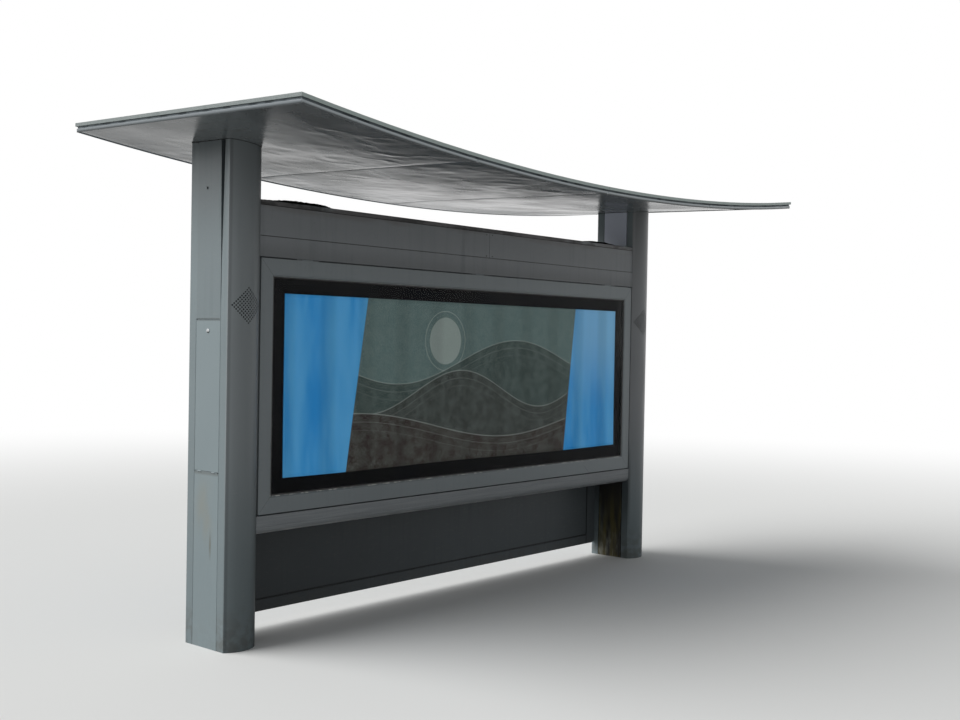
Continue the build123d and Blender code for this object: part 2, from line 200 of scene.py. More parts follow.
def patches(tree, place, size, low=0.35, high=0.65, stretch=(1, 1, 1), detail=3.0):
    """Soft patches that are size millimetres across: 0 where the noise is under low, 1 over high."""
    scaled = add(tree, "ShaderNodeMapping", {"Vector": place, "Scale": [1 / s for s in stretch]})
    return share(tree, (noise(tree, scaled, size, detail), low, high))


def evenly(tree, value, low, high, start=0, stop=1):
    """A share that goes evenly from low, where the value is start, to high, where it is stop."""
    return add(tree, "ShaderNodeMapRange", {"Value": value, "From Min": start, "From Max": stop,
                                            "To Min": low, "To Max": high})


def share(tree, *factors):
    """The product of several factors. One that is written as (value, start, stop) rises smoothly from 0,
    where the value is start, to 1, where it is stop, and start may be the higher."""
    product = None
    for factor in factors:
        if isinstance(factor, tuple):
            value, start, stop = factor
            factor = add(tree, "ShaderNodeMapRange", {"Value": value, "From Min": start, "From Max": stop},
                         interpolation_type="SMOOTHSTEP")
        if product is None:
            product = factor
        else:
            product = add(tree, "ShaderNodeMath", {0: product, 1: factor}, operation="MULTIPLY")
    return product


def total(tree, start, *terms):
    """A start value plus several factors, each times its own weight."""
    for factor, weight in terms:
        start = add(tree, "ShaderNodeMath", {0: factor, 1: weight, 2: start}, operation="MULTIPLY_ADD")
    return start


def near(tree, value, middle, reach):
    """1 at middle, falling to 0 at reach on both sides of it."""
    return share(tree, (from_zero(tree, total(tree, -middle, (value, 1))), reach, 0))


def layered(tree, base, *layers):
    """Coats of colour laid one over another: each layer is its colour, and the factors whose product is
    how much of it there is. A colour is hex, linear RGBA or a socket."""
    for over, *factors in layers:
        base, over = [linear(colour) if isinstance(colour, str) else colour for colour in (base, over)]
        base = add(tree, "ShaderNodeMix", {0: share(tree, *factors), 6: base, 7: over},
                   data_type="RGBA").outputs[2]
    return base


def surface(tree, shader, base, layers, wear, smooth, rough, *more):
    """Gives a shader its base colour under its layers, and a roughness that goes from smooth, where the
    wear is 0, to rough, where it is 1, with more factors times their weights on top."""
    tree.links.new(layered(tree, base, *layers), shader.inputs["Base Color"])
    roughness = total(tree, evenly(tree, wear, smooth, rough), *more)
    tree.links.new(roughness.outputs[0], shader.inputs["Roughness"])


def relief(tree, shader, *heights):
    """Bumps added up: each is a factor and its height in millimetres."""
    height = total(tree, 0.0, *[(factor, millimetres * MM) for factor, millimetres in heights])
    bump = add(tree, "ShaderNodeBump", {"Height": height, "Distance": 1.0, "Strength": 1.0})
    tree.links.new(bump.outputs[0], shader.inputs["Normal"])


def seen_by(tree, *rays):
    """1 for the named kinds of ray and 0 for all others."""
    paths = add(tree, "ShaderNodeLightPath")
    seen = paths.outputs[rays[0]]
    for ray in rays[1:]:
        seen = add(tree, "ShaderNodeMath", {0: seen, 1: paths.outputs[ray]}, operation="MAXIMUM")
    return seen


def scaled_colour(colour, factor):
    return tuple(min(1.0, channel * factor) for channel in colour[:3]) + (1.0,)


def powder_coat(name, colour, tints, splash_top=0.30, extra=None):
    """Polyester powder coat, sprayed and baked on folded steel sheet: satin, with a faint orange peel.
    Rain has drawn dust down it in runs and splashed mud on its foot. The peel is really 2 mm across
    and is drawn 6 mm, so that it shows."""
    material, tree, shader, place = new_material(name, {"Specular IOR Level": 0.3})
    x, y, z = parts(tree, place)
    cloud = patches(tree, place, 380, 0.3, 0.7)
    runs = patches(tree, place, 30, 0.50, 0.68, stretch=(1, 1, 22))
    specks = patches(tree, place, 16, 0.62, 0.70, detail=5.0)
    scuffs = patches(tree, place, 55, 0.60, 0.66, stretch=(1, 1, 0.22), detail=6.0)
    splash = share(tree, (z, splash_top, 0.02), patches(tree, place, 60, 0.36, 0.62, detail=6.0))
    layers = [(scaled_colour(colour, 1.22), cloud, 0.22), (scaled_colour(colour, 0.74), runs, 0.12),
              (scaled_colour(colour, 0.52), specks, 0.12), (tints.dust, scuffs, 0.05),
              (tints.mud, splash, 0.42)]
    if extra:
        layers += extra(tree, place, x, y, z)
    surface(tree, shader, colour, layers, share(tree, runs, cloud), 0.36, 0.56, (splash, 0.3))
    relief(tree, shader, (noise(tree, place, 6, 1.0), 0.04), (noise(tree, place, 330, 1.0), 2.0),
           (specks, 0.1))
    return material


def set_material(piece, material):
    if len(piece.material_slots) == 0:
        piece.data.materials.append(material)
    for slot in piece.material_slots:
        slot.material = material


def finish_nodes(material, *names):
    for name in names:
        set_material(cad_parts[name], material)


def box_of(node):
    """A CAD node's box as two numpy points."""
    low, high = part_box(node)
    return np.array(low), np.array(high)


def points_of(x, y, z):
    """One array of points from arrays of their coordinates, each stretched to the same shape."""
    return np.stack(np.broadcast_arrays(x, y, z), -1)


def grid_faces(rows, columns, closed_rows=False, closed_columns=False):
    """The quads of a grid whose points are numbered row by row; a closed grid meets its own start."""
    row = np.arange(rows if closed_rows else rows - 1)[:, None]
    column = np.arange(columns if closed_columns else columns - 1)[None, :]
    after_row = (row + 1) % rows
    after_column = (column + 1) % columns
    corners = (row * columns + column, row * columns + after_column,
               after_row * columns + after_column, after_row * columns + column)
    return np.stack(np.broadcast_arrays(*corners), -1).reshape(-1, 4)


def swept_faces(rows, corners, copies=1):
    """The faces of a closed section carried over several rows and capped at both ends, for copies whose
    points are numbered one after another."""
    starts = np.arange(copies)[:, None, None] * rows * corners
    walls = (grid_faces(rows, corners, closed_columns=True)[None] + starts).reshape(-1, 4)
    caps = np.stack([np.arange(corners), np.arange(corners) + (rows - 1) * corners])[None] + starts
    return walls.tolist() + caps.reshape(-1, corners).tolist()


def new_piece(name, points, faces, material, body, smooth_angle=35):
    """A mesh from an array of points and a list of faces, with outward faces, riding a body."""
    mesh = bpy.data.meshes.new(name)
    mesh.from_pydata(np.asarray(points).reshape(-1, 3).tolist(), [], [list(face) for face in faces])
    solid = bmesh.new()
    solid.from_mesh(mesh)
    bmesh.ops.remove_doubles(solid, verts=solid.verts, dist=0.001 * MM)
    bmesh.ops.recalc_face_normals(solid, faces=solid.faces)
    solid.to_mesh(mesh)
    solid.free()
    mesh.shade_smooth()
    mesh.set_sharp_from_angle(angle=math.radians(smooth_angle))
    piece = bpy.data.objects.new(name, mesh)
    bpy.context.collection.objects.link(piece)
    set_material(piece, material)
    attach(piece, body)
    return piece


def waves(across, along, shortest, longest, count, seed):
    """An uneven surface between about -1 and 1: the sum of cosines with random directions, phases and
    wavelengths from shortest to longest, divided by the root of half their number and by 2."""
    chance = np.random.default_rng(seed)
    turn = chance.uniform(0, math.pi, count)
    number = 2 * math.pi / chance.uniform(shortest, longest, count)
    phase = chance.uniform(0, 2 * math.pi, count)
    run = across[..., None] * np.cos(turn) + along[..., None] * np.sin(turn)
    return np.cos(run * number + phase).sum(-1) / (2 * math.sqrt(count / 2))


def roof_point(sizes, x, y, height):
    """A point of the roof from x, y and its height over the soffit: the soffit follows a circle through
    the rise at the roof's ends, the other layers the same circle less their height, and all of it is
    turned about the column line by the slope."""
    half = box_of("roof_trim_right")[1][0]
    post_low, post_high = box_of("post_left")
    line = (post_low[1] + post_high[1]) / 2
    radius = (half ** 2 + sizes.roof_rise ** 2) / (2 * sizes.roof_rise)
    lift = radius - np.sqrt((radius - height) ** 2 - x ** 2)
    cosine, sine = math.cos(sizes.roof_slope), math.sin(sizes.roof_slope)
    leaning = (sizes.roof_rise + sizes.roof_edge) * sine / 2
    turned_y = line + leaning + (y - line) * cosine - lift * sine
    turned_z = sizes.soffit_height + (y - line) * sine + lift * cosine
    return points_of(x, turned_y, turned_z)


class ShelterStage(bpy.types.Operator):
    """Adds the floor, the light and the camera"""
    bl_idname = "shelter.stage"
    bl_label = "Stage"

    def execute(self, context):
        view = context.scene.shelter_view
        reach = 60
        mesh = bpy.data.meshes.new("floor")
        mesh.from_pydata([(-reach, -reach, 0), (reach, -reach, 0), (reach, reach, 0), (-reach, reach, 0)], [],
                         [(0, 1, 2, 3)])
        floor = bpy.data.objects.new("floor", mesh)
        context.collection.objects.link(floor)
        material, tree, shader, place = new_material("pale studio floor",
                                                     {"Roughness": 0.9, "Specular IOR Level": 0.1})
        fade_start, fade_stop = 4.5, 15.0
        away = add(tree, "ShaderNodeVectorMath", {0: place}, operation="LENGTH").outputs["Value"]
        white = add(tree, "ShaderNodeEmission", {"Color": (1, 1, 1, 1), "Strength": 1.0})
        tree.links.new(layered(tree, view.bounce, (view.floor, seen_by(tree, "Is Camera Ray"))),
                       shader.inputs["Base Color"])
        fading = share(tree, (away, fade_start, fade_stop), seen_by(tree, "Is Camera Ray", "Is Glossy Ray"))
        blend = add(tree, "ShaderNodeMixShader", {0: fading, 1: shader, 2: white})
        tree.links.new(blend.outputs[0], tree.nodes["Material Output"].inputs["Surface"])
        set_material(floor, material)

        world = bpy.data.worlds.new("studio")
        context.scene.world = world
        world.use_nodes = True
        tree = world.node_tree
        tree.nodes.clear()
        soft = add(tree, "ShaderNodeBackground", {"Color": linear("#eef1f4"), "Strength": view.sky})
        white = add(tree, "ShaderNodeBackground", {"Color": (1, 1, 1, 1), "Strength": 1.0})
        seen = seen_by(tree, "Is Camera Ray", "Is Glossy Ray", "Is Transmission Ray")
        mix = add(tree, "ShaderNodeMixShader", {0: seen, 1: soft, 2: white})
        add(tree, "ShaderNodeOutputWorld", {"Surface": mix})

        lamp = bpy.data.lights.new("key", "SUN")
        lamp.energy = view.key
        lamp.angle = math.radians(60)
        shining = Vector((0.62, -0.50, -0.60))
        holder = bpy.data.objects.new("key", lamp)
        holder.rotation_euler = shining.to_track_quat("-Z", "Y").to_euler()
        context.collection.objects.link(holder)

        camera = bpy.data.cameras.new("camera")
        camera.sensor_width = 36
        camera.lens = view.lens
        holder = bpy.data.objects.new("camera", camera)
        flat = Vector((math.sin(view.heading), math.cos(view.heading), 0))
        ahead = flat * math.cos(view.tip) + Vector((0, 0, math.sin(view.tip)))
        across = Vector((math.cos(view.heading), -math.sin(view.heading), 0))
        above = across.cross(ahead)
        right = across * math.cos(view.roll) + above * math.sin(view.roll)
        upward = above * math.cos(view.roll) - across * math.sin(view.roll)
        turn = Matrix((right, upward, -ahead)).transposed().to_4x4()
        holder.matrix_world = Matrix.Translation(view.place) @ turn
        context.collection.objects.link(holder)
        context.scene.camera = holder
        context.scene.view_settings.view_transform = "Standard"
        return {"FINISHED"}


def smooth_bow(shape, middle, axis, radius):
    """Gives the corners of every face on the bow the arc's own normal, so that the punched face shades
    as one smooth curve. A face is on the bow if its normal is within 12 degrees of the arc's."""
    corner_point = np.empty(len(shape.loops), dtype=np.int32)
    shape.loops.foreach_get("vertex_index", corner_point)
    places = np.empty(len(shape.vertices) * 3)
    shape.vertices.foreach_get("co", places)
    place = places.reshape(-1, 3)[corner_point]
    facing = np.empty(len(shape.polygons) * 3)
    shape.polygons.foreach_get("normal", facing)
    corners = np.empty(len(shape.polygons), dtype=np.int32)
    shape.polygons.foreach_get("loop_total", corners)
    facing = np.repeat(facing.reshape(-1, 3), corners, axis=0)
    arc = np.stack([place[:, 0] - middle, place[:, 1] - axis, 0 * place[:, 0]], -1)
    apart = np.linalg.norm(arc, axis=1)
    arc /= apart[:, None]
    on_bow = ((arc * facing).sum(1) > math.cos(math.radians(12))) & (abs(apart - radius) < 1 * MM)
    shape.normals_split_custom_set(np.where(on_bow[:, None], arc, 0).tolist())


def bow_arc(sizes, side):
    """The arc of a column's sidewalk face, which runs through both creases: the middle and half the length
    of its chord, its radius and the Y of its crest."""
    low, high = box_of("sidewalk_cladding_" + side)
    middle, half = (low[0] + high[0]) / 2, (high[0] - low[0]) / 2
    return middle, half, (half ** 2 + sizes.bow ** 2) / (2 * sizes.bow), low[1]


def punched(name, node, points, faces):
    """A CAD node's mesh, its doubles merged, less the cutters that the points and faces make."""
    cutter_mesh = bpy.data.meshes.new("punch")
    cutter_mesh.from_pydata(points.reshape(-1, 3).tolist(), [], faces)
    solid = bmesh.new()
    solid.from_mesh(cutter_mesh)
    bmesh.ops.recalc_face_normals(solid, faces=solid.faces)
    solid.to_mesh(cutter_mesh)
    solid.clear()
    solid.from_mesh(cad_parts[node].data)
    bmesh.ops.remove_doubles(solid, verts=solid.verts, dist=0.01 * MM)
    blank_mesh = bpy.data.meshes.new("blank")
    solid.to_mesh(blank_mesh)
    solid.free()
    cutter, blank = [bpy.data.objects.new(mesh.name, mesh) for mesh in (cutter_mesh, blank_mesh)]
    for item in (cutter, blank):
        bpy.context.collection.objects.link(item)
    punch = blank.modifiers.new("punch", "BOOLEAN")
    punch.operation = "DIFFERENCE"
    punch.solver = "EXACT"
    punch.object = cutter
    shape = bpy.data.meshes.new_from_object(blank.evaluated_get(bpy.context.evaluated_depsgraph_get()))
    for item in (cutter, blank):
        bpy.data.objects.remove(item)
    shape.name = name
    shape.materials.clear()
    return shape


def perforated_cladding(sizes, side):
    """A column's bowed sidewalk cladding with a diamond of round holes. The bow is an arc through both
    creases; hole (i, j) of the diamond lies (i - j) half spacings along the arc from its crest and
    (i + j) half spacings up from the middle, and each hole is square to the arc."""
    node = "sidewalk_cladding_" + side
    middle, _, radius, crest = bow_arc(sizes, side)
    axis = crest + radius
    index = np.arange(sizes.hole_rows) - (sizes.hole_rows - 1) / 2
    first, second = np.meshgrid(index, index)
    turn = ((first - second).ravel() * sizes.hole_step / radius)[:, None, None]
    height = (sizes.diamond_z + (first + second).ravel() * sizes.hole_step)[:, None, None]
    corners = 12
    angle = np.arange(corners) * 2 * math.pi / corners
    ring_u = sizes.hole_radius * np.cos(angle)[None, None]
    ring_z = sizes.hole_radius * np.sin(angle)[None, None]
    outside, inside = 2 * MM, 8 * MM
    reach = np.array([radius + outside, radius - inside])[None, :, None]
    points = points_of(middle + reach * np.sin(turn) + ring_u * np.cos(turn),
                       axis - reach * np.cos(turn) + ring_u * np.sin(turn), height + ring_z)
    shape = punched("perforated_cladding_" + side, node, points, swept_faces(2, corners, len(turn)))
    shape.shade_smooth()
    shape.set_sharp_from_angle(angle=math.radians(25))
    smooth_bow(shape, middle, axis, radius)
    piece = bpy.data.objects.new(shape.name, shape)
    bpy.context.collection.objects.link(piece)
    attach(piece, BODY)
    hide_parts(node)
    return piece


def seam_strip(name, outer, near_y, far_y, top, open_length, flush_above, material):
    """The coated strip seen in the bottom of a panel seam, as a shallow V carried up the seam. Its edges lie
    0.4 mm and its middle 1.6 mm under the face, or an eighth of that above the flush height, and over the
    open length below its top it sinks by 14 mm times t squared, with t from 0 to 1, into the part of the
    seam that has sprung open."""
    rows = 60
    height = np.linspace(4 * MM, top, rows)[:, None]
    opened = np.clip((height - top + open_length) / open_length, 0, 1) if open_length else 0
    sunk = 14 * MM * opened ** 2
    middle = (near_y + far_y) / 2
    across = np.array([near_y, middle, far_y, far_y, near_y])[None, :]
    depth = np.array([0.4, 1.6, 0.4, 24, 24])[None, :] * MM
    shown = np.array([1, 1, 1, 0, 0])[None, :]
    depth = depth * np.where(height > flush_above, 1 - 0.875 * shown, 1) + sunk * shown
    points = points_of(outer - math.copysign(1, outer) * depth, across, height)
    return new_piece(name, points, swept_faces(rows, 5), material, BODY, smooth_angle=20)


def seam_lid(name, outer, near_y, far_y, foot, top, material):
    """The lip of the upper panel behind the seam under it: a bar as high as the seam less its clearances of
    1.6 and 0.1 mm, 4 mm under the face."""
    depth = np.array([4, 4, 20, 20])[None, :] * MM
    foot, top = foot + 1.6 * MM, top - 0.1 * MM
    height = np.array([foot, top, top, foot])[None, :]
    across = np.array([near_y, far_y])[:, None]
    points = points_of(outer - math.copysign(1, outer) * depth, across, height)
    return new_piece(name, points, swept_faces(2, 4), material, BODY)


def soffit_shadow_bead(sizes, side, material):
    """A black bead round a column where it meets the soffit, which stands in for the shade in that joint:
    painted shade. Its line is the column's outline: two arcs through the creases, joined by the flat
    sides, and its section is a half round 3 mm out and 5 mm high, 0.4 of that along the sidewalk side."""
    road = box_of("road_cladding_" + side)[1][1]
    middle, half, radius, crest = bow_arc(sizes, side)
    turn = np.linspace(-1, 1, 41) * math.asin(half / radius)
    bulge = np.linspace(0, math.pi, 7)
    out = np.concatenate([np.sin(bulge) * 3 * MM, [-4 * MM, -4 * MM]])
    drop = np.concatenate([np.cos(bulge) * 2.5 * MM - 2.5 * MM, [-5 * MM, 0]])
    fullness = np.repeat([0.4, 1.0], len(turn))[:, None]
    front_out, back_out = 0.4 * out[None, :], out[None, :]
    swept = np.sin(turn)[:, None]
    x = middle + np.concatenate([
        np.clip((radius + front_out) * swept, -half - front_out, half + front_out),
        np.clip((radius + back_out) * swept[::-1], -half - back_out, half + back_out)])
    y = np.concatenate([crest + radius - (radius + front_out) * np.cos(turn)[:, None],
                        road - radius + (radius + back_out) * np.cos(turn[::-1])[:, None]])
    z = roof_point(sizes, x, y, sizes.soffit_recess)[..., 2] + fullness * drop[None, :]
    return new_piece("soffit_shadow_bead_" + side, points_of(x, y, z),
                     grid_faces(len(turn) * 2, len(out), True, True), material, BODY, smooth_angle=50)


class ShelterColumns(bpy.types.Operator):
    """Finishes the columns: posts, claddings with their perforated diamonds, and side panels"""
    bl_idname = "shelter.columns"
    bl_label = "Columns"

    def execute(self, context):
        tints = context.scene.shelter_colours
        sizes = context.scene.shelter_sizes
        case_face, end_face = [point[0] for point in box_of("road_cladding_right")]
        crease = box_of("sidewalk_cladding_right")[0][1] + sizes.bow
        hatch_low, hatch_high = box_of("service_door")
        half_seam = (box_of("upper_panel_left")[0][2] - hatch_high[2]) / 2
        seam_under, seam_over = hatch_low[2] - half_seam, hatch_high[2] + half_seam
        header_top = box_of("header_cap")[1][2]
        roof_line = sizes.soffit_height + 80 * MM
        roof_shade_foot = roof_line - 620 * MM

        def soot_and_shade(tree, place, x, y, z):
            """Painted shade that thickens under the roof, towards the case, down the left column's sidewalk
            face and in the corner behind the skirt, with a thin dark strip beside each column's outer crease
            as a painted reflection. The sidewalk faces are painted lighter above their feet as painted light,
            the right column's twice as much."""
            away = from_zero(tree, x)
            to_left = evenly(tree, x, 0.0, 0.40, 1, -1)
            to_right = evenly(tree, x, 0.5, 1.0, -1, 1)
            round_side = evenly(tree, y, 0.22, 0.45, crease - 6 * MM, crease + 64 * MM)
            front = share(tree, (y, crease + 14 * MM, crease - 1 * MM))
            # The first layer is painted light, the next four painted shade, the last a painted reflection.
            return [("#8d8f91", to_right, front, (z, 0.2, 1.3)),
                    (tints.soot_and_shade, to_left, front, (z, 1.2, 0.4), 0.5),
                    (tints.soot_and_shade, (z, roof_shade_foot, roof_line), (away, case_face + 6 * MM, case_face + 21 * MM),
                     round_side),
                    (tints.soot_and_shade, (away, case_face + 76 * MM, case_face + 3 * MM),
                     (y, crease + 54 * MM, crease - 6 * MM), to_left),
                    (tints.soot_and_shade, near(tree, away, case_face + 1 * MM, 20 * MM), (z, 0.10, 0.55),
                     (z, 0.95, 0.60), 0.55),
                    (tints.soot_and_shade, near(tree, away, end_face - 7 * MM, 12 * MM),
                     (y, crease + 4 * MM, crease - 2 * MM), 0.30)]

        def stains(tree, place, x, y, z):
            """The columns' painted shade; the panels under the seam over the service door painted lighter and
            the upper panel a little darker, as painted shade from the roof; a broad yellowish stain with a
            dark run under the service door, and dirt along its seams."""
            broad = patches(tree, place, 110, 0.34, 0.62, stretch=(1, 1, 2), detail=6.0)
            run = patches(tree, place, 24, 0.30, 0.55, stretch=(1, 1, 4))
            seams = total(tree, near(tree, z, seam_under, 16 * MM), (near(tree, z, seam_over, 12 * MM), 1))
            step_foot, step_top = seam_over - 3 * MM, seam_over + 1 * MM
            broad_y, broad_z, run_y, run_z = 260 * MM, 740 * MM, 211 * MM, 560 * MM
            return soot_and_shade(tree, place, x, y, z) + [
                # Painted light under the seam over the service door, and painted shade over it.
                (scaled_colour(tints.column, 1.22), (z, step_top, step_foot), 0.75),
                (tints.soot_and_shade, (z, step_foot, step_top), 0.10),
                ("#8a8472", near(tree, y, broad_y, 120 * MM), near(tree, z, broad_z, 240 * MM), broad, 0.42),
                ("#5d5846", near(tree, y, run_y, 14 * MM), near(tree, z, run_z, 100 * MM), run, 0.6),
                (tints.mud, seams, 0.35)]

        def mould(tree, place, x, y, z):
            """Black mould on the low part of the face that looks into the shelter, made darker in part as
            painted shade from the case, yellow-green runs through it and pale splashes at its foot; over the
            header the coat is painted pale as painted light."""
            black = patches(tree, place, 150, 0.10, 0.42, stretch=(1, 1, 3))
            runs = patches(tree, place, 42, 0.42, 0.66, stretch=(1, 1, 9))
            pale = patches(tree, place, 34, 0.46, 0.62, stretch=(1, 1, 4), detail=4.0)
            # The pale layer over the header is painted light; the black mould is partly painted shade from
            # the case.
            return [("#cfd5e4", (z, header_top - 2 * MM, header_top + 28 * MM)),
                    ("#231f18", (z, 1.10, 0.62), black, 0.93), (tints.mould, (z, 0.62, 0.20), runs, 0.8),
                    ("#8f9085", (z, 0.30, 0.04), pale, 0.6)]

        coat = powder_coat("satin powder coat on columns", tints.column, tints, extra=soot_and_shade)
        stained_and_shaded = powder_coat("satin powder coat with water stain", tints.column, tints, extra=stains)
        mould_and_painted_light = powder_coat("powder coat with mould", tints.column, tints, splash_top=0.05, extra=mould)
        finish_nodes(coat, "road_cladding_left", "road_cladding_right", "upper_panel_right",
                     "middle_panel_right", "lower_panel_right")
        finish_nodes(stained_and_shaded, "upper_panel_left", "lower_panel_left", "service_door")
        finish_nodes(mould_and_painted_light, "inner_panel_left", "inner_panel_right")

        sealant, tree, shader, place = new_material("black polyurethane sealant", {"Specular IOR Level": 0.2})
        # A black bead for the shade in the joint between column and soffit, painted shade: matt, with dust on
        # its skin.
        skin = patches(tree, place, 18, 0.4, 0.65)
        surface(tree, shader, "#0d0e0f", [("#2a2b2b", skin, 0.3)], skin, 0.5, 0.75)

        clear = 0.1 * MM
        for side in SIDES:
            set_material(perforated_cladding(sizes, side), coat)
            soffit_shadow_bead(sizes, side, sealant)
            panel_low, panel_high = box_of("upper_panel_" + side)
            outer = panel_low[0] if side == "left" else panel_high[0]
            seam_strip("seam_cover_sidewalk_" + side, outer, panel_low[1] - sizes.seam + clear,
                       panel_low[1] - clear, sizes.spring_height - 20 * MM, 240 * MM, panel_high[2], coat)
            seam_strip("seam_cover_road_" + side, outer, panel_high[1] + clear,
                       panel_high[1] + sizes.seam - clear, panel_high[2] - 12 * MM, 0, panel_low[2], coat)
            seam_lid("seam_lid_" + side, outer, panel_low[1] + clear, panel_high[1] - clear, hatch_high[2],
                     panel_low[2], coat)

        zinc, tree, shader, place = new_material("hot dip galvanised steel", {"Metallic": 0.9})
        # Zinc crystals 12 mm across, each with its own grey.
        spangle = add(tree, "ShaderNodeTexVoronoi", {"Vector": place, "Scale": 1000 / 12})
        tone = add(tree, "ShaderNodeSeparateColor", {"Color": spangle.outputs["Color"]})
        surface(tree, shader, "#484c4e", [("#626668", tone, 0.6)], tone, 0.4, 0.6)
        relief(tree, shader, (tone, 0.05))
        finish_nodes(zinc, "post_left", "post_right", "roof_frame", "case_hinge")

        chrome, tree, shader, place = new_material("chromed brass lock", {"Metallic": 1.0})
        # Plated and polished, with fine scratches left by keys; its lower part is painted dark as a painted
        # reflection of the ground.
        scratch = patches(tree, place, 1.2, 0.55, 0.62, stretch=(1, 6, 1))
        centre = sum(point[2] for point in box_of("door_lock")) / 2
        z = parts(tree, place)["Z"]
        surface(tree, shader, "#c9cbcc", [("#8b8d8e", scratch, 0.5),
                                          ("#191a1b", (z, centre - 2 * MM, centre - 6 * MM), 0.85)],
                scratch, 0.14, 0.4)
        finish_nodes(chrome, "door_lock")
        return {"FINISHED"}


def frame_ring(name, half, low, high, profile, material, body):
    """A moulding round a rectangle: each profile point is how far it lies inside the rectangle and its
    place along Y, and the rectangle drawn in by that much carries it round four mitred corners."""
    inside, depth = np.array(profile).T
    sign_x = np.array([-1, 1, 1, -1])
    at_top = np.array([0, 0, 1, 1])
    points = np.empty((4, len(inside), 3))
    points[..., 0] = sign_x[:, None] * (half - inside[None])
    points[..., 1] = depth[None]
    points[..., 2] = np.where(at_top[:, None] == 1, high - inside[None], low + inside[None])
    return new_piece(name, points, grid_faces(4, len(inside), True, True), material, body, smooth_angle=50)


class ShelterCase(bpy.types.Operator):
    """Finishes the poster case: frames, beads, gaskets, glass and the box between them"""
    bl_idname = "shelter.case"
    bl_label = "Poster case"

    def execute(self, context):
        tints = context.scene.shelter_colours
        sizes = context.scene.shelter_sizes
        door_low, door_high = box_of("case_door_left")[0], box_of("case_door_right")[1]
        glass_low, glass_high = box_of("case_glass")
        cover = 8 * MM
        half = glass_high[0] - cover
        low, high = glass_low[2] + cover, glass_high[2] - cover

        def joints(tree, place, x, y, z):
            """Colour that grows paler towards the right end, the hairlines of the four mitres and a diagonal
            splice in the lower member. Each line lies where a weighted sum of the coordinates has one
            value."""
            away = from_zero(tree, x)
            layers = [(scaled_colour(tints.case, 1.2), (x, -0.6, 1.9))]
            low_member, high_member, stile = 93, 94, 85
            for edge, slope in ((door_low[2], low_member / stile), (door_high[2], -high_member / stile)):
                mitre = total(tree, -slope * door_high[0], (away, slope), (z, 1))
                line = near(tree, mitre, edge, 2.5 * MM)
                layers.append(("#303436", line, (away, half - 2 * MM, half), 0.6))
            splice_slope, splice_x, splice_sum = 0.82, 1.269, 1.783
            splice = total(tree, 0.0, (x, splice_slope), (z, 1))
            layers.append(("#303436", near(tree, splice, splice_sum, 2.2 * MM),
                           near(tree, x, splice_x, 60 * MM)))
            return layers

        coat = powder_coat("satin powder coat on frames", tints.case, tints, extra=joints)
        finish_nodes(coat, *[body + part for body in ("case_door_", "road_frame_")
                             for part in ("top", "bottom", "left", "right")])

        bead, tree, shader, place = new_material("anodised aluminium bead with sealant", {"Metallic": 0.4})
        # Silver anodising, with pale sealant squeezed out in uneven lumps 26 mm long.
        lumps = patches(tree, place, 26, 0.5, 0.62, detail=5.0)
        z = parts(tree, place)["Z"]
        surface(tree, shader, "#5f6466", [("#9b9d9a", lumps, 0.5),
                                          ("#c4c5c0", near(tree, z, low, 20 * MM), lumps, 0.8)],
                lumps, 0.32, 0.7)
        relief(tree, shader, (lumps, 0.6))

        rubber, tree, shader, place = new_material("extruded black rubber gasket")
        # Matt rubber that has greyed and holds dust.
        bloom = patches(tree, place, 45, 0.4, 0.7, detail=5.0)
        surface(tree, shader, "#0b0b0c", [("#3a3936", bloom, 0.25)], bloom, 0.5, 0.8)

        # A bead's section stands on the glass and is rounded at the top; a gasket's is a low wedge beside it.
        width, rubber_width = sizes.bead, sizes.gasket
        reach = width + rubber_width
        bead_section = [(-0.4 * MM, 0), (-0.4 * MM, 4.5 * MM), (0.3 * width, 5.3 * MM),
                        (0.75 * width, 4.7 * MM), (width, 3 * MM), (width, 0)]
        gasket_section = [(width, 0), (width, 2.6 * MM), (width + 0.4 * rubber_width, 2.4 * MM),
                          (reach, 0.6 * MM), (reach, 0)]
        mouldings = (("_bead", bead_section, bead), ("_gasket", gasket_section, rubber))
        road_face = box_of("road_glass")[1][1]
        for side, body, face, outward in (("door", DOOR, glass_low[1], -1), ("road", BODY, road_face, 1)):
            for part, section, material in mouldings:
                profile = [(inside, face + outward * height) for inside, height in section]
                frame_ring(side + part, half, low, high, profile, material, body)

        glass, tree, shader, place = new_material("toughened float glass, unwashed", {"IOR": 1.52})
        # Clear glass with a thin film of dust in broad streaks, dried drops 9 mm across, dust that gathers at
        # its lower edge, and painted light: a pale haze towards its upper right corner.
        x, _, z = parts(tree, place)
        film = patches(tree, place, 300, 0.3, 0.75, stretch=(1.6, 1, 0.5), detail=6.0)
        low_dust = share(tree, (z, low + 0.10, low), patches(tree, place, 40, 0.35, 0.6))
        drops = patches(tree, place, 9, 0.66, 0.72, detail=2.0)
        # A pale haze at the upper right corner: painted light.
        painted_light_haze = share(tree, (x, 1.60, 1.74), (z, 1.20, 1.75), patches(tree, place, 200, 0.2, 0.6,
                                                                     stretch=(1, 1, 3)))
        dust_and_painted_light = total(tree, 0.0, (film, 0.008), (low_dust, 0.03), (drops, 0.008), (painted_light_haze, 0.12))
        surface(tree, shader, "#0c1113", [("#8d8f8a", dust_and_painted_light, 3.0)], film, 0.02, 0.07)
        tree.links.new(total(tree, 0.05, (dust_and_painted_light, 1)).outputs[0], shader.inputs["Alpha"])
        finish_nodes(glass, "case_glass", "road_glass")

        sheet, tree, shader, place = new_material("white lined sheet steel box")
        # Stove enamel on the hidden box, greyed by dust that has got in.
        grey = patches(tree, place, 160, 0.35, 0.7)
        surface(tree, shader, "#8e9294", [("#5f6263", grey, 0.5)], grey, 0.4, 0.65)
        finish_nodes(sheet, "light_box")
        return {"FINISHED"}


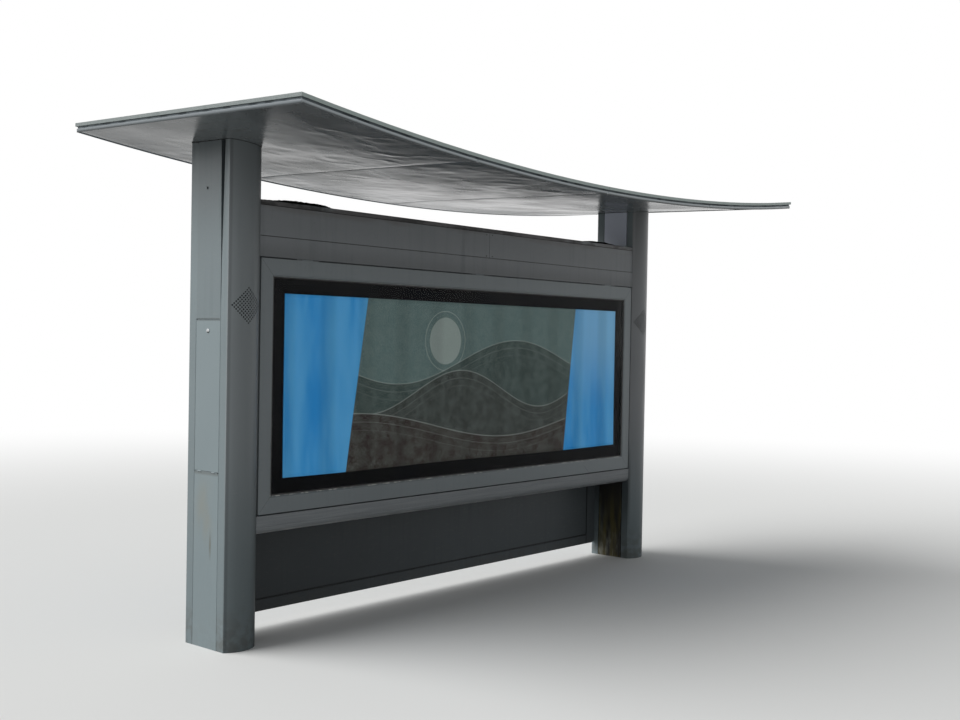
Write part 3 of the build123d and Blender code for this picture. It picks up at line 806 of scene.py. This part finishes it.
def print_film(tints, sizes):
    """A plain abstract print: blue fields with slanting edges at both ends, and a pale disc over three low
    hills, each a sine along X, with thin contour lines. The tubes behind it show as soft upright bands."""
    film, tree, shader, place = new_material("inkjet print on backlit film",
                                             {"Emission Strength": 0.42, "Specular IOR Level": 0.06})
    x, _, z = parts(tree, place)
    grain = patches(tree, place, 9, 0.38, 0.62)
    mottle = patches(tree, place, 60, 0.35, 0.65, detail=6.0)
    pale = "#a9b3ad"
    disc_middle, disc_radius, ring_radius, soft = (-0.30, 0, 1.68), 0.150, 0.190, 2 * MM
    disc = add(tree, "ShaderNodeVectorMath", {0: place, 1: disc_middle}, operation="SUBTRACT")
    disc = add(tree, "ShaderNodeVectorMath", {0: disc, 1: (1, 0, 1)}, operation="MULTIPLY")
    disc = add(tree, "ShaderNodeVectorMath", {0: disc}, operation="LENGTH").outputs["Value"]
    picture = layered(tree, tints.print_green, (scaled_colour(tints.print_green, 1.6), grain, 0.35),
                      (pale, (disc, disc_radius + soft, disc_radius - soft), 0.5),
                      (pale, near(tree, disc, ring_radius, 2 * soft), 0.5))
    for level, swing, length, phase, colour in ((1.55, 0.14, 2.3, 0.4, tints.print_slate),
                                                (1.36, 0.13, 1.7, 2.1, "#2f3331"),
                                                (1.14, 0.10, 2.9, 4.0, tints.print_brown)):
        angle = total(tree, phase, (x, 2 * math.pi / length))
        crest = total(tree, level, (add(tree, "ShaderNodeMath", {0: angle}, operation="SINE"), swing))
        under = total(tree, crest, (z, -1))
        contours = [(pale, near(tree, under, depth * MM, width * MM), amount)
                    for depth, width, amount in ((0, 5, 0.45), (50, 3, 0.22), (100, 3, 0.12))]
        picture = layered(tree, picture, (colour, (under, -3 * MM, 3 * MM)), *contours)
    picture = layered(tree, picture, ("#7d8a84", mottle, 0.13), ("#9aa5a0", grain, 0.08))
    middle = (sizes.print_low + sizes.print_high) / 2
    ends = 0.0
    for edge, lean, sign in ((-1.08, 0.16, -1), (1.06, 0.12, 1)):
        beyond = total(tree, sign * (lean * middle - edge), (z, -sign * lean), (x, sign))
        ends = total(tree, ends, (share(tree, (beyond, -3 * MM, 3 * MM)), 1))
    glow = patches(tree, place, 260, 0.3, 0.7, stretch=(0.55, 1, 3))
    blue = layered(tree, tints.print_blue, (tints.print_sky, glow, 0.6),
                   ("#84b8d8", (z, 1.1, 1.8), (x, 0.9, 1.3), 0.7))
    tube_spacing = 0.31
    tubes = add(tree, "ShaderNodeMath", {0: total(tree, 0.0, (x, 2 * math.pi / tube_spacing))},
                operation="SINE")
    picture = layered(tree, picture, (blue, ends), ("#000000", (tubes, 0.2, -1.0), 0.14))
    surface(tree, shader, picture, [], mottle, 0.34, 0.46)
    tree.links.new(picture, shader.inputs["Emission Color"])
    relief(tree, shader, (grain, 0.02))
    return film


class ShelterPosters(bpy.types.Operator):
    """Hangs a print in front of each board"""
    bl_idname = "shelter.posters"
    bl_label = "Prints"

    def execute(self, context):
        sizes = context.scene.shelter_sizes
        board, tree, shader, place = new_material("matt black board", {"Specular IOR Level": 0.04})
        # Black laminate behind the print, with a little dust.
        grey = patches(tree, place, 220, 0.35, 0.75)
        surface(tree, shader, "#050609", [("#10131a", grey, 0.35)], grey, 0.45, 0.65)
        finish_nodes(board, "poster_board", "road_poster_board")

        # The film droops a little between its clips, and ripples off the board by 0.6 to 4.6 mm, most at
        # its lower edge, where it hangs free.
        film = print_film(context.scene.shelter_colours, sizes)
        columns, rows = 160, 48
        across = np.linspace(-1, 1, columns)[None, :]
        upward = np.linspace(0, 1, rows)[:, None]
        x = sizes.print_half * across
        droop = 3 * MM * np.cos(across * 5.2 + 0.6) * (1 - upward) ** 4
        z = sizes.print_low + droop + (sizes.print_high - sizes.print_low) * upward
        loose = 1.8 * (1 - upward) ** 6 * (1 + np.cos(across * 7))
        off_board = MM * np.clip(1.3 + 0.5 * waves(x, z, 0.35, 1.1, 9, 11) + loose, 0.6, 4.6)
        for side, node, outward in (("sidewalk", "poster_board", -1), ("road", "road_poster_board", 1)):
            low, high = box_of(node)
            board_face = low[1] if outward < 0 else high[1]
            points = points_of(x, board_face + outward * off_board, z)
            piece = new_piece(side + "_print", points, grid_faces(rows, columns), film, BODY)
            thick = piece.modifiers.new("film", "SOLIDIFY")
            thick.thickness = 0.3 * MM
        return {"FINISHED"}


def screw_heads(name, spots, radius, material):
    """Pan heads facing the sidewalk: at distance r from the axis the head stands out by a dome,
    0.42 radius times the root of 1 - (r / radius) squared, less a cross that is cut 0.2 radius deep."""
    rings, corners = 9, 24
    distance = np.linspace(1, 0.06, rings)[:, None] * radius
    angle = np.arange(corners)[None, :] * 2 * math.pi / corners
    dome = 0.42 * radius * np.sqrt(np.clip(1 - (distance / radius) ** 2, 0, 1))
    off_x, off_z = distance * np.cos(angle), distance * np.sin(angle)
    cross = (np.minimum(abs(off_x), abs(off_z)) < 0.13 * radius) & (distance < 0.6 * radius)
    out = dome - np.where(cross, 0.2 * radius, 0)
    x, y, z = np.asarray(spots).T[:, :, None, None]
    return new_piece(name, points_of(x + off_x, y - out, z + off_z),
                     swept_faces(rings, corners, len(spots)), material, BODY)


def leaf_dust(name, start, stop, near_y, far_y, floor, height, seed, material):
    """A drift of leaf dust on the cap: a low arched profile carried along X. Its height and width follow
    the root of 1 - t squared with t from -1 to 1 along the drift, clumps are added as waves, and the
    drift is 1 + 0.35 t times as high, so its right end is the fuller."""
    rows, corners = 120, 44
    t = np.linspace(-0.999, 0.999, rows)[:, None]
    angle = np.arange(corners)[None, :] * 2 * math.pi / corners
    bulk = np.sqrt(1 - t ** 2)
    x = (start + stop) / 2 + (stop - start) / 2 * t
    wander = 0.9 + 0.1 * waves(x, 0 * x, 0.05, 0.2, 8, seed)
    y = (near_y + far_y) / 2 + (far_y - near_y) / 2 * np.cos(angle) * bulk ** 0.4 * wander
    clumps = 0.80 + 0.2 * waves(x, y, 0.09, 0.26, 16, seed + 1)
    clumps += 0.10 * waves(x, y, 0.012, 0.035, 24, seed + 2)
    arch = np.clip(np.sin(angle), 0, 1) ** 0.7
    z = floor + height * bulk * arch * np.clip(clumps, 0.05, 1) * (1 + 0.35 * t)
    return new_piece(name, points_of(x, y, z), swept_faces(rows, corners), material, BODY, smooth_angle=60)


class ShelterHeader(bpy.types.Operator):
    """Finishes the header over the case: rail, panels, their screws, the cap and the dust on it"""
    bl_idname = "shelter.header"
    bl_label = "Header"

    def execute(self, context):
        tints = context.scene.shelter_colours
        sizes = context.scene.shelter_sizes
        cap_low, cap_high = box_of("header_cap")
        left_low, left_high = box_of("header_panel_left")
        panel_foot = left_low[2]

        def weather(tree, place, x, y, z):
            """Faint brown blotches under the cap, the rail painted darker towards its lower edge as painted
            shade, and the dirty line between the rail and the panels."""
            blotches = patches(tree, place, 130, 0.40, 0.62, stretch=(3, 1, 0.6), detail=4.0)
            return [("#5d4c45", (z, cap_low[2] - 50 * MM, cap_low[2]), blotches, 0.35),
                    # The rail painted darker towards its lower edge: painted shade.
                    (tints.soot_and_shade, (z, panel_foot, panel_foot - 110 * MM),
                     (z, panel_foot + 1 * MM, panel_foot - 1 * MM), 0.30),
                    (tints.soot_and_shade, near(tree, z, panel_foot, 4 * MM), 0.8)]

        def rust_and_shade(tree, place, x, y, z):
            """Rust and sooty black in long patches on the cap, and its lowest few millimetres painted black
            as painted shade along its lower edge.
            """
            brown = patches(tree, place, 120, 0.30, 0.52, stretch=(4, 1, 1), detail=6.0)
            black = patches(tree, place, 70, 0.44, 0.60, stretch=(3, 1, 1), detail=6.0)
            return [(tints.rust, brown, 0.7), ("#191816", black, 0.8),
                    # The cap's lowest few millimetres painted black: painted shade.
                    ("#0d0d0d", (z, cap_low[2] + 5 * MM, cap_low[2] + 3 * MM))]

        coat = powder_coat("satin powder coat on header", tints.rail, tints, extra=weather)
        finish_nodes(coat, "header_rail", "header_panel_left", "header_panel_right")
        finish_nodes(powder_coat("rusting powder coat on cap", tints.rail, tints, extra=rust_and_shade), "header_cap")

        zinc, tree, shader, place = new_material("zinc plated screw", {"Metallic": 0.8})
        # Bright plating dulled by weather.
        dull = patches(tree, place, 3, 0.4, 0.6)
        surface(tree, shader, "#6d7070", [("#3b3733", dull, 0.6)], dull, 0.35, 0.6)
        from_joint, from_edge = 28 * MM, 12 * MM
        spots = [(x, left_low[1], z)
                 for x in (left_high[0] - from_joint, box_of("header_panel_right")[0][0] + from_joint)
                 for z in (left_low[2] + from_edge, left_high[2] - from_edge)]
        screw_heads("header_screws", spots, 5 * MM, zinc)

        dust, tree, shader, place = new_material("rotted leaf dust",
                                                 {"Roughness": 0.95, "Specular IOR Level": 0.05})
        # Black-brown crumbs 8 mm across with a few dry flakes.
        crumbs = patches(tree, place, 8, 0.4, 0.6, detail=5.0)
        flakes = patches(tree, place, 14, 0.62, 0.66, detail=2.0)
        tree.links.new(layered(tree, "#0b0a08", ("#1a1610", crumbs, 0.6), ("#332b1f", flakes, 0.5)),
                       shader.inputs["Base Color"])
        relief(tree, shader, (crumbs, 1.5))
        floor = cap_high[2] - 0.3 * MM
        edge = 5 * MM
        for side, start, stop, height, seed in (
                ("left", cap_low[0] + 15 * MM, cap_low[0] + 620 * MM, sizes.litter, 3),
                ("right", cap_high[0] - 630 * MM, cap_high[0] - 150 * MM, sizes.litter * 0.85, 8)):
            leaf_dust("leaf_dust_" + side, start, stop, cap_low[1] + edge, cap_high[1] - edge, floor, height,
                      seed, dust)
        return {"FINISHED"}


class ShelterSkirt(bpy.types.Operator):
    """Finishes the bottom rail and the skirt"""
    bl_idname = "shelter.skirt"
    bl_label = "Bottom rail and skirt"

    def execute(self, context):
        tints = context.scene.shelter_colours
        rail_foot = box_of("bottom_rail")[0][2]
        panel_low, panel_high = box_of("skirt_panel")

        def wear_and_highlight(tree, place, x, y, z):
            """Paint rubbed in long streaks and chipped pale at the lower edge; the lower half is painted
            lighter, a painted reflection of light from the ground on the rail's rounded underside.
            """
            chips = patches(tree, place, 34, 0.42, 0.60, stretch=(4, 1, 1), detail=5.0)
            streaks = patches(tree, place, 11, 0.44, 0.60, stretch=(40, 1, 1), detail=2.0)
            # The lower half painted lighter: a painted reflection of the ground's light.
            return [("#8d9193", (z, rail_foot + 44 * MM, rail_foot + 26 * MM), 0.30),
                    ("#9da3a6", streaks, 0.30),
                    ("#b4b6b6", (z, rail_foot + 17 * MM, rail_foot + 8 * MM), chips, 0.6)]

        def rebate(tree, place, x, y, z):
            """Painted shade: dark lines in the step round the set-in panel, and shade that thickens towards
            the left.
            """
            away = from_zero(tree, x)
            # All three layers are painted shade.
            return [(tints.soot_and_shade, (x, 1.0, -1.9), 0.5),
                    ("#0c0d0c", near(tree, away, panel_high[0], 9 * MM), 0.8),
                    ("#0c0d0c", (y, 0.30, 0.40), near(tree, z, panel_low[2], 9 * MM),
                     (away, panel_high[0] + 4 * MM, panel_high[0]), 0.8)]

        coat = powder_coat("satin powder coat on bottom rail", tints.rail, tints, extra=wear_and_highlight)
        finish_nodes(coat, "bottom_rail")
        low = powder_coat("powder coat on skirt", tints.skirt, tints, splash_top=0.20, extra=rebate)
        finish_nodes(low, "skirt_frame", "skirt_panel")
        return {"FINISHED"}


def dents(x, y, seed):
    """Creases beaten into the sheet, 0 to about 1 deep: each is a ridge that falls off as e to the
    minus distance across over its width, and as e to the minus square of the distance along it."""
    chance = np.random.default_rng(seed)
    count = 70
    middle_x = chance.uniform(x.min(), x.max(), count)
    middle_y = chance.uniform(y.min(), y.max(), count)
    turn = chance.normal(0.0, 0.45, count)
    long = chance.uniform(0.07, 0.26, count)
    wide = chance.uniform(0.010, 0.030, count)
    deep = chance.uniform(0.15, 1.0, count) ** 2
    off_x, off_y = x[..., None] - middle_x, y[..., None] - middle_y
    along = off_x * np.cos(turn) + off_y * np.sin(turn)
    across = off_y * np.cos(turn) - off_x * np.sin(turn) + 0.02 * np.sin(along * 22)
    return (deep * np.exp(-np.sqrt(across ** 2 + 1e-6) / wide) * np.exp(-(along / long) ** 2)).sum(-1)


def facing_ends(tree, facing):
    """1 on faces that look along X and 0 on all that don't, from the normal's parts."""
    return share(tree, (from_zero(tree, facing["X"]), 0.6, 0.9))


def soffit_enamel(tints):
    """Stove enamel: smooth and glossy, so what lies below mirrors in it, with dust clouds and drip marks. It
    carries painted reflections, a dark field towards the sidewalk and a lighter one towards the road and the
    right, painted light on the folded edges that face sideways, and painted shade on faces that look along X."""
    enamel, tree, shader, place = new_material("stove enamelled aluminium sheet", {"Specular IOR Level": 0.4})
    x, y, _ = parts(tree, place)
    cloud = patches(tree, place, 420, 0.3, 0.7, stretch=(1.5, 1, 1))
    drips = patches(tree, place, 60, 0.56, 0.7, stretch=(1, 3, 1), detail=5.0)
    specks = patches(tree, place, 18, 0.66, 0.72, detail=4.0)
    # The painted reflection's dark field ends at a line across the tray that bends towards the sidewalk on
    # both sides of the field's middle and wanders with the noise.
    field_middle = -0.35
    off = from_zero(tree, total(tree, -field_middle, (x, 1)))
    edge = total(tree, y, (off, 0.3), (noise(tree, place, 700, 4.0), 0.3))
    facing = parts(tree, add(tree, "ShaderNodeNewGeometry").outputs["Normal"])
    layers = [(scaled_colour(tints.soffit, 1.3), cloud, 0.35), (tints.mud, drips, 0.25),
              # The dark field here and the lighter field on the next line are painted reflections.
              ("#3a3a38", specks, 0.5), (tints.soot_and_shade, (edge, 0.35, 0.25), 0.26),
              ("#b4b7b8", (x, -0.9, 0.4), (y, 0.35, 0.85), 0.35),
              # Painted light on the sideways faces and painted shade on the faces that look along X.
              (tints.band, (facing["Z"], -0.7, -0.3)), ("#4b5256", facing_ends(tree, facing), 0.62)]
    surface(tree, shader, tints.soffit, layers, cloud, 0.16, 0.30)
    relief(tree, shader, (noise(tree, place, 70, 2.0), 0.6))
    return enamel


def soffit_tray(sizes, number, material):
    """One of the four trays, a sheet on a grid of x and y over the roof's circle. From its outer edge inwards
    the sheet goes up the band, across the groove and down to the floor. The floor hangs lower at the road
    side and sags in waves and dents, which fade out towards the folds, the columns and the left end."""
    node = "soffit_" + str(number)
    low, high = box_of(node)
    half_sheet = sizes.sheet / 2
    far = sizes.sheet + sizes.soffit_groove + half_sheet
    step_in = np.array([half_sheet, half_sheet, far, far])
    step_up = np.array([0, sizes.soffit_band - half_sheet, sizes.soffit_band - half_sheet,
                        sizes.soffit_recess + half_sheet])
    steps = len(step_in)
    floor_rows, floor_columns = 132, 104
    flat_y = np.linspace(far - sizes.soffit_half, sizes.soffit_half - far, floor_rows)[1:-1]
    line_y = np.concatenate([step_in - sizes.soffit_half, flat_y, (sizes.soffit_half - step_in)[::-1]])
    count_y = np.minimum(np.arange(len(line_y)), np.arange(len(line_y))[::-1])
    first, last = number == 1, number == 4
    start = low[0] + (far if first else 0)
    stop = high[0] - (far if last else 0)
    flat_x = np.linspace(start, stop, floor_columns)
    line_x = np.concatenate([low[0] + step_in[:-1] if first else [], flat_x,
                             (high[0] - step_in[:-1])[::-1] if last else []])
    place_x = np.arange(len(line_x))
    no_fold = 0 * place_x + steps
    count_x = np.minimum(place_x if first else no_fold, place_x[::-1] if last else no_fold)
    level = np.minimum(np.minimum(count_x[:, None], count_y[None, :]), steps - 1)
    x = line_x[:, None] + 0 * line_y
    y = line_y[None, :] + 0 * x
    hang_start, hang_reach = 480 * MM, 400 * MM
    hang = sizes.soffit_drop * np.clip((y - hang_start) / hang_reach, 0, 1) ** 2 * (level == steps - 1)
    base = roof_point(sizes, x, y, step_up[level] - hang)

    clear = np.ones_like(x)
    for side in SIDES:
        post_low, post_high = box_of("sidewalk_cladding_" + side)[0], box_of("road_cladding_" + side)[1]
        gap_x = np.maximum(post_low[0] - x, x - post_high[0])
        gap_y = np.maximum(post_low[1] - base[..., 1], base[..., 1] - post_high[1])
        clear *= np.clip((np.maximum(gap_x, gap_y) - 20 * MM) / (90 * MM), 0, 1)
    rim = np.clip((sizes.soffit_half - far - abs(y)) / (60 * MM), 0, 1)
    rim *= np.clip((x - start) / (50 * MM), 0, 1) * np.clip((stop - x) / (50 * MM), 0, 1)
    smooth_x, smooth_reach, least = -2.30, 0.5, 0.12
    smooth_end = np.clip(abs(smooth_x - x) / smooth_reach, least, 1)
    swell = 0.55 + 0.45 * waves(x, y, 0.35, 0.9, 12, 20 + number)
    beaten = 0.22 * waves(x, y, 0.10, 0.24, 26, 30 + number) + 0.75 * dents(x, y, 40 + number)
    sag = swell + beaten * (1 if number < 3 else 0.35)
    base[..., 2] -= sizes.soffit_sag * np.clip(sag, 0, 2.2) * clear * rim * smooth_end
    piece = new_piece("soffit_tray_" + str(number), base, grid_faces(len(line_x), len(line_y)), material,
                      BODY, smooth_angle=30)
    thick = piece.modifiers.new("sheet", "SOLIDIFY")
    thick.thickness = sizes.sheet
    thick.offset = 0
    thick.use_even_offset = True
    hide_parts(node)


class ShelterSoffit(bpy.types.Operator):
    """Makes the four soffit trays as dented sheets with folded edges"""
    bl_idname = "shelter.soffit"
    bl_label = "Soffit"

    def execute(self, context):
        enamel = soffit_enamel(context.scene.shelter_colours)
        for number in range(1, 5):
            soffit_tray(context.scene.shelter_sizes, number, enamel)
        return {"FINISHED"}


def gap_tape(sizes, half_length, material):
    """Foam tape that closes the shadow gap under the trims: a 4 mm wide section, from the trays' folded edge
    to the roof sheets, carried round the roof's rectangle 4 mm inside the trays' outer faces."""
    inset, width = 4 * MM, 4 * MM
    along = np.linspace(-1, 1, 161)
    across = np.linspace(-1, 1, 25)
    loop_x = np.concatenate([along, 1 + 0 * across[1:-1], along[::-1], -1 + 0 * across[1:-1]])
    loop_y = np.concatenate([-1 + 0 * along, across[1:-1], 1 + 0 * along, across[::-1][1:-1]])
    inside = np.array([inset, inset + width, inset + width, inset])[None, :]
    height = np.array([sizes.soffit_band, sizes.soffit_band, sizes.sheet_height, sizes.sheet_height])[None, :]
    x = loop_x[:, None] * (half_length - inside)
    y = loop_y[:, None] * (sizes.soffit_half - inside)
    return new_piece("gap_tape", roof_point(sizes, x, y, height), grid_faces(len(loop_x), 4, True, True),
                     material, BODY, smooth_angle=30)


class ShelterRoof(bpy.types.Operator):
    """Finishes the roof sheets and the edge trims"""
    bl_idname = "shelter.roof"
    bl_label = "Roof"

    def execute(self, context):
        tints = context.scene.shelter_colours

        def settled_and_shaded(tree, place, x, y, z):
            """Soot and lichen lying on everything that faces up, and the two ends painted darker as painted
            shade.
            """
            facing = parts(tree, add(tree, "ShaderNodeNewGeometry").outputs["Normal"])
            up = share(tree, (facing["Z"], 0.6, 0.95))
            soot_and_shade = patches(tree, place, 520, 0.25, 0.75, stretch=(1, 2.5, 1), detail=8.0)
            lichen = patches(tree, place, 24, 0.60, 0.66, detail=6.0)
            # The darker ends are painted shade.
            return [("#33383b", facing_ends(tree, facing), 0.70), ("#5a5b56", up, soot_and_shade, 0.70),
                    ("#85866f", up, lichen, 0.7)]

        coat = powder_coat("weathered roof paint", tints.roof, tints, extra=settled_and_shaded)
        finish_nodes(coat, "roof_trim_left", "roof_trim_right", "roof_sheet_left", "roof_sheet_right")

        foam, tree, shader, place = new_material("grey foam tape")
        # Open cells 2 mm across with dust in them.
        cells = patches(tree, place, 2, 0.4, 0.6)
        grime = patches(tree, place, 90, 0.45, 0.62, detail=4.0)
        surface(tree, shader, "#6d767b", [("#4d5459", cells, 0.4), ("#2a2e31", grime, 0.5)], grime, 0.7, 0.95)
        gap_tape(context.scene.shelter_sizes, box_of("soffit_4")[1][0], foam)
        return {"FINISHED"}


PIECES = (ShelterStage, ShelterColumns, ShelterCase, ShelterPosters, ShelterHeader, ShelterSkirt,
          ShelterSoffit, ShelterRoof)


class ShelterPanel(bpy.types.Panel):
    """Lists the shelter's pieces with their sizes and colours"""
    bl_idname = "VIEW3D_PT_shelter"
    bl_label = "Bus shelter"
    bl_space_type = "VIEW_3D"
    bl_region_type = "UI"
    bl_category = "Shelter"

    def draw(self, context):
        for piece in PIECES:
            self.layout.operator(piece.bl_idname)
        for group in (context.scene.shelter_view, context.scene.shelter_sizes, context.scene.shelter_colours):
            column = self.layout.column()
            for name in group.__annotations__:
                column.prop(group, name)


GROUPS = (ShelterView, ShelterColours, ShelterSizes)


def register():
    for item in GROUPS + PIECES + (ShelterPanel,):
        bpy.utils.register_class(item)
    bpy.types.Scene.shelter_view = bpy.props.PointerProperty(type=ShelterView)
    bpy.types.Scene.shelter_colours = bpy.props.PointerProperty(type=ShelterColours)
    bpy.types.Scene.shelter_sizes = bpy.props.PointerProperty(type=ShelterSizes)


def unregister():
    del bpy.types.Scene.shelter_view
    del bpy.types.Scene.shelter_colours
    del bpy.types.Scene.shelter_sizes
    for item in reversed(GROUPS + PIECES + (ShelterPanel,)):
        bpy.utils.unregister_class(item)


def main():
    register()
    bpy.ops.shelter.stage()
    bpy.ops.shelter.columns()
    bpy.ops.shelter.case()
    bpy.ops.shelter.posters()
    bpy.ops.shelter.header()
    bpy.ops.shelter.skirt()
    bpy.ops.shelter.soffit()
    bpy.ops.shelter.roof()


if __name__ == "__main__":
    main()
